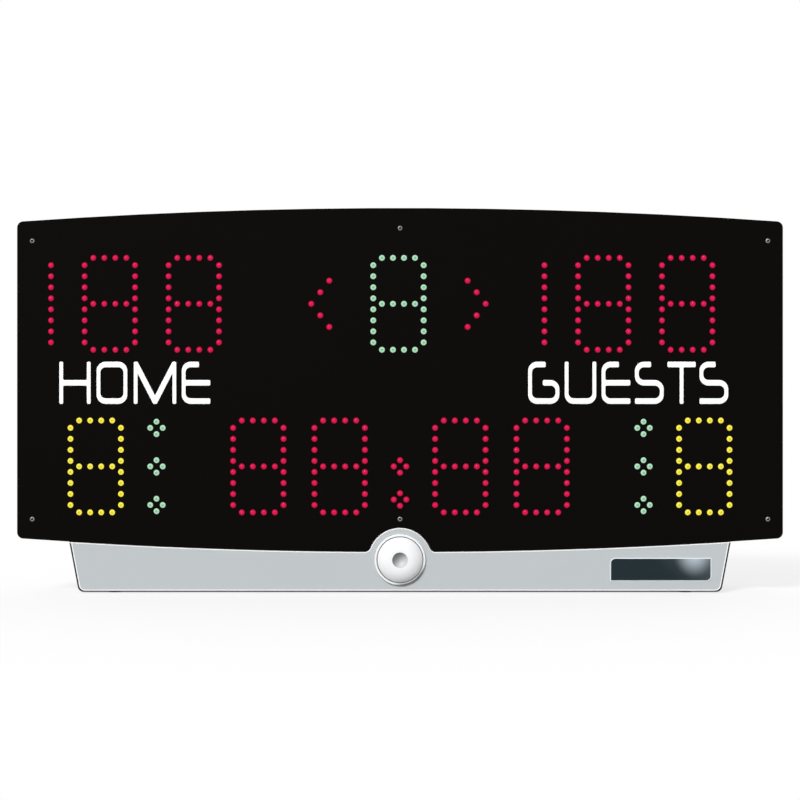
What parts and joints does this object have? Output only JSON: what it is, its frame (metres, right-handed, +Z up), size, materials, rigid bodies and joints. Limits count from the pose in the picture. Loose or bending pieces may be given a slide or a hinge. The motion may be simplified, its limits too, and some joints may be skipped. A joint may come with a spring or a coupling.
{
  "type": "portable scoreboard",
  "caption": "Portable LED scoreboard: arched black display head with score, clock, period, foul and time-out lamps on a low silver base with a round horn and a folding rear handle.",
  "frame": {"origin": "on the surface the scoreboard stands on, at the middle of its width and of its depth", "axes": "+X to the right as seen from the front, +Y to the rear, +Z up; the lamps look along -Y"},
  "size_m": [1.02, 0.162, 0.5127],
  "materials": {
    "panel_black": "satin black sheet",
    "case_grey": "dark grey powder coat",
    "base_silver": "silver grey powder coat",
    "lamp_red": "tinted clear epoxy, red",
    "lamp_green": "tinted clear epoxy, pale green",
    "lamp_yellow": "tinted clear epoxy, yellow",
    "circuit_board": "green solder mask",
    "screw_steel": "zinc-plated steel",
    "spacer_brass": "turned brass",
    "rubber_black": "black rubber",
    "bezel_silver": "silver grey satin",
    "horn_white": "pearl white, soft gloss",
    "plastic_black": "moulded black plastic",
    "driver_metal": "plated steel",
    "plate_dark": "dark slate film on aluminium",
    "handle_steel": "zinc-plated steel",
    "socket_steel": "tinned steel shell",
    "supply_aluminium": "folded aluminium",
    "battery_grey": "grey plastic wrap",
    "cable_grey": "grey sheath"
  },
  "bodies": {
    "root": {"arrow_leds": "lamp_red", "back_screws": "screw_steel", "base_back": "base_silver", "base_bolts": "screw_steel", "base_feet": "rubber_black", "base_nuts": "screw_steel", "base_shell": "base_silver", "battery_pack": "battery_grey", "board_screws": "screw_steel", "board_spacers": "spacer_brass", "case_frame": "case_grey", "clock_board": "circuit_board", "clock_minutes_leds": "lamp_red", "clock_seconds_leds": "lamp_red", "colon_leds": "lamp_red", "connector_screws": "screw_steel", "controller_board": "circuit_board", "controller_posts": "spacer_brass", "data_socket": "socket_steel", "door_pins": "screw_steel", "front_panel": "panel_black", "fuse_holder": "plastic_black", "guest_foul_board": "circuit_board", "guest_foul_leds": "lamp_yellow", "guest_hundreds_leds": "lamp_red", "guest_score_board": "circuit_board", "guest_tens_leds": "lamp_red", "guest_timeout_leds": "lamp_green", "guest_units_leds": "lamp_red", "handle_brackets": "handle_steel", "handle_screws": "screw_steel", "home_foul_board": "circuit_board", "home_foul_leds": "lamp_yellow", "home_hundreds_leds": "lamp_red", "home_score_board": "circuit_board", "home_tens_leds": "lamp_red", "home_timeout_leds": "lamp_green", "home_units_leds": "lamp_red", "horn_bezel": "bezel_silver", "horn_cover": "horn_white", "horn_driver": "driver_metal", "horn_gasket": "rubber_black", "horn_ring_nut": "plastic_black", "mount_inserts": "screw_steel", "nameplate": "plate_dark", "panel_nuts": "screw_steel", "panel_screws": "screw_steel", "period_board": "circuit_board", "period_leds": "lamp_green", "power_inlet": "plastic_black", "power_supply": "supply_aluminium", "rear_cover": "case_grey", "rear_screws": "screw_steel", "switch_frame": "plastic_black", "wiring": "cable_grey"},
    "handle": {"handle_bail": "handle_steel", "handle_grip": "rubber_black"},
    "door": {"battery_door": "base_silver"},
    "rocker": {"power_rocker": "plastic_black"},
    "cap": {"fuse_cap": "plastic_black"}
  },
  "joints": [
    {"name": "handle_fold", "type": "hinge", "parent": "root", "child": "handle", "pos_m": [0, 0.015, 0.484], "axis": [1, 0, 0], "range_deg": [0, 180]},
    {"name": "battery_door_swing", "type": "hinge", "parent": "root", "child": "door", "pos_m": [0.225, 0.0773, 0.0485], "axis": [1, 0, 0], "range_deg": [0, 100]},
    {"name": "rocker_tilt", "type": "hinge", "parent": "root", "child": "rocker", "pos_m": [0.345, -0.0005, 0.135], "axis": [1, 0, 0], "range_deg": [0, 24]},
    {"name": "fuse_cap_turn", "type": "hinge", "parent": "root", "child": "cap", "pos_m": [0.305, 0.001, 0.135], "axis": [0, 1, 0], "range_deg": [0, 90]}
  ]
}
